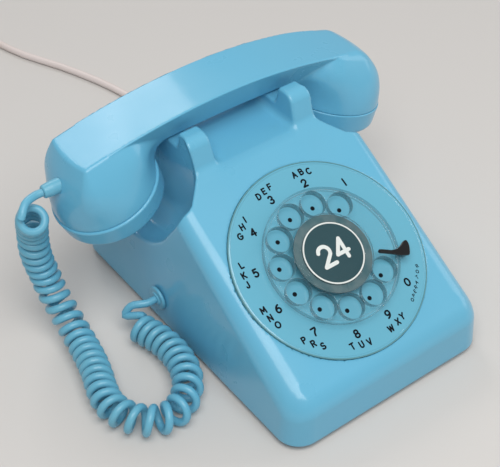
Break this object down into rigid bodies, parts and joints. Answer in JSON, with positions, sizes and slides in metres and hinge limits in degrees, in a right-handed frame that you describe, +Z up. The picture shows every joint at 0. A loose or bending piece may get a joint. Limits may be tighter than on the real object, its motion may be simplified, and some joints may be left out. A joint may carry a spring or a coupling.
{
  "type": "rotary desk telephone",
  "caption": "Rotary desk telephone with a sloped one-piece housing, a clear finger wheel over a round number plate, a cradle handset, a curly handset cord and a line cord with a plug.",
  "frame": {"origin": "on the table under the middle of the telephone's box, cords left out", "axes": "+X to the right of a person who faces the dial, along the handset; +Y to the back; +Z up"},
  "size_m": [0.25, 0.5668, 0.1311],
  "materials": {
    "shell_plastic": "gloss",
    "plate_plastic": "gloss",
    "clear_plastic": "clear",
    "card": "matte",
    "cord_sleeve": "satin",
    "handset_cord_sleeve": "satin",
    "dark_steel": "gloss",
    "steel": "plated",
    "brass": "satin",
    "rubber": "matte",
    "black_plastic": "matte",
    "white_plastic": "satin",
    "base_paint": "satin",
    "coil_wrap": "satin"
  },
  "bodies": {
    "base": {"housing": "shell_plastic", "base_plate": "base_paint", "rubber_feet": "rubber", "housing_screws": "steel", "handset_cord_grommet": "shell_plastic", "line_cord_grommet": "cord_sleeve", "number_plate": "plate_plastic", "dial_frame": "steel", "dial_bracket": "steel", "dial_screws": "steel", "dial_bearing": "brass", "finger_stop": "dark_steel", "pulse_contacts": "brass", "governor_cup": "brass", "return_spring": "steel", "hook_bracket": "steel", "hook_axle": "steel", "hook_contacts": "brass", "network_block": "steel", "network_cover": "white_plastic", "ringer_frame": "steel", "ringer_coil": "coil_wrap", "gong_left": "brass", "gong_right": "brass", "gong_screws": "steel", "clapper_pin": "steel", "handset_cord": "handset_cord_sleeve", "line_cord": "cord_sleeve", "line_cord_coil": "cord_sleeve", "cord_tie": "white_plastic", "line_plug": "clear_plastic"},
    "dial": {"finger_wheel": "clear_plastic", "wheel_clamp": "steel", "number_card": "card", "card_cover": "clear_plastic", "dial_shaft": "steel", "main_gear": "brass"},
    "pulse_wheel": {"pulse_cam": "white_plastic"},
    "governor": {"governor_rotor": "steel"},
    "left_plunger": {"plunger_left": "clear_plastic"},
    "right_plunger": {"plunger_right": "clear_plastic"},
    "hook": {"hook_lever": "steel"},
    "bell_clapper": {"clapper": "steel"},
    "loudness_dial": {"loudness_wheel": "white_plastic"},
    "handset": {"handset_shell": "shell_plastic", "transmitter_cap": "shell_plastic", "receiver_cap": "shell_plastic", "transmitter_unit": "steel", "receiver_unit": "steel", "contact_cup": "black_plastic", "handset_cord_relief": "handset_cord_sleeve"}
  },
  "joints": [
    {"name": "handset_lift", "type": "slide", "parent": "base", "child": "handset", "axis": [0, 0, 1], "range_m": [0, 0.07], "deforming": ["handset_cord"]},
    {"name": "plunger_left_slide", "type": "slide", "parent": "base", "child": "left_plunger", "axis": [0, 0, 1], "range_m": [0, 0.005]},
    {"name": "plunger_right_slide", "type": "slide", "parent": "base", "child": "right_plunger", "axis": [0, 0, 1], "range_m": [0, 0.005]},
    {"name": "hook_rock", "type": "hinge", "parent": "base", "child": "hook", "pos_m": [0, 0.0747, 0.0827], "axis": [1, 0, 0], "range_deg": [-11.5, 0]},
    {"name": "dial_turn", "type": "hinge", "parent": "base", "child": "dial", "pos_m": [0, -0.0514, 0.0649], "axis": [0, -0.518, 0.8554], "range_deg": [-326, 0], "stiffness_Nm_per_rad": 0.008, "springref_deg": 45.84},
    {"name": "pulse_spin", "type": "hinge", "parent": "base", "child": "pulse_wheel", "pos_m": [-0.02631, -0.05959, 0.05994], "axis": [0, -0.518, 0.8554], "range_deg": [0, 1957]},
    {"name": "governor_spin", "type": "hinge", "parent": "base", "child": "governor", "pos_m": [-0.014, -0.03066, 0.07746], "axis": [0, -0.518, 0.8554], "range_deg": [0, 1957]},
    {"name": "clapper_swing", "type": "hinge", "parent": "base", "child": "bell_clapper", "pos_m": [0, -0.046, 0.0152], "axis": [0, 0, 1], "range_deg": [-1.1, 1.1]},
    {"name": "loudness_turn", "type": "hinge", "parent": "base", "child": "loudness_dial", "pos_m": [0.027, -0.052, 0.0116], "axis": [0, 1, 0], "range_deg": [-60, 60]}
  ],
  "couplings": [
    {"joint": "plunger_left_slide", "follows": "handset_lift", "ratio": 0.0714},
    {"joint": "plunger_right_slide", "follows": "handset_lift", "ratio": 0.0714},
    {"joint": "hook_rock", "follows": "handset_lift", "rad_per_m": -2.857},
    {"joint": "pulse_spin", "follows": "dial_turn", "ratio": -6},
    {"joint": "governor_spin", "follows": "dial_turn", "ratio": -6}
  ]
}
